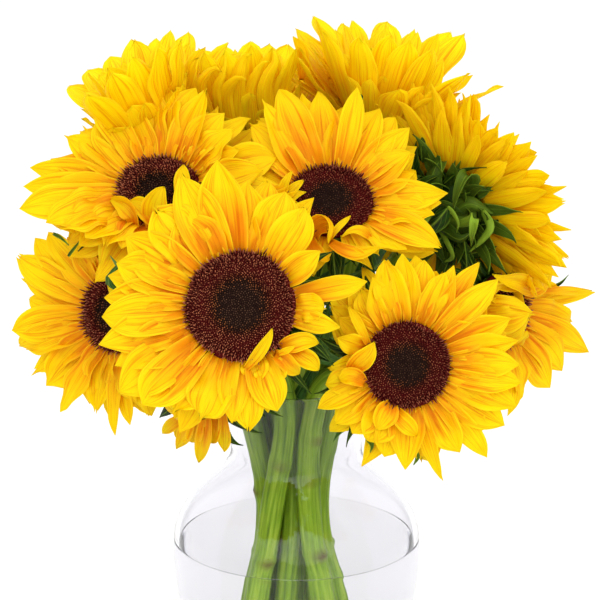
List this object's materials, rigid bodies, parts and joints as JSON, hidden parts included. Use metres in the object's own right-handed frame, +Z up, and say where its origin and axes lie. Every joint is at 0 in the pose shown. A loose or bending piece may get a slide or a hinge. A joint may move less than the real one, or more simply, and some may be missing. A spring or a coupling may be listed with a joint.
{
  "type": "sunflowers in a vase",
  "caption": "Bouquet of cut sunflowers standing in a clear, round-bellied glass vase part filled with water; rests on a flat foot.",
  "frame": {"origin": "centre of the flat underside of the vase", "axes": "+Z up through the vase and the bouquet, -Y towards the front, where the two largest open heads face, +X to the viewer's right"},
  "size_m": [0.3116, 0.2516, 0.3817],
  "materials": {
    "glass": "gloss",
    "water": "gloss",
    "stem": "satin",
    "bract": "matte",
    "leaf": "satin",
    "petal": "matte",
    "disc": "matte"
  },
  "bodies": {
    "root": {"vase": "glass", "water": "water", "stem_01": "stem", "bracts_01": "bract", "petals_01": "petal", "disc_01": "disc", "stem_02": "stem", "bracts_02": "bract", "petals_02": "petal", "disc_02": "disc", "stem_03": "stem", "bracts_03": "bract", "petals_03": "petal", "disc_03": "disc", "stem_04": "stem", "bracts_04": "bract", "petals_04": "petal", "disc_04": "disc", "stem_05": "stem", "bracts_05": "bract", "petals_05": "petal", "disc_05": "disc", "stem_06": "stem", "bracts_06": "bract", "petals_06": "petal", "disc_06": "disc", "stem_07": "stem", "bracts_07": "bract", "petals_07": "petal", "disc_07": "disc", "stem_08": "stem", "bracts_08": "bract", "petals_08": "petal", "disc_08": "disc", "stem_09": "stem", "bracts_09": "bract", "petals_09": "petal", "disc_09": "disc", "stem_10": "stem", "bracts_10": "bract", "petals_10": "petal", "disc_10": "disc", "stem_11": "stem", "bracts_11": "bract", "petals_11": "petal", "disc_11": "disc", "stem_12": "stem", "bracts_12": "bract", "petals_12": "petal", "disc_12": "disc", "leaf_front": "leaf", "leaf_middle": "leaf", "leaf_left": "leaf", "leaf_right": "leaf", "leaf_back_left": "leaf", "leaf_back_right": "leaf", "leaf_back": "leaf", "leaf_low_left": "leaf"}
  },
  "joints": []
}
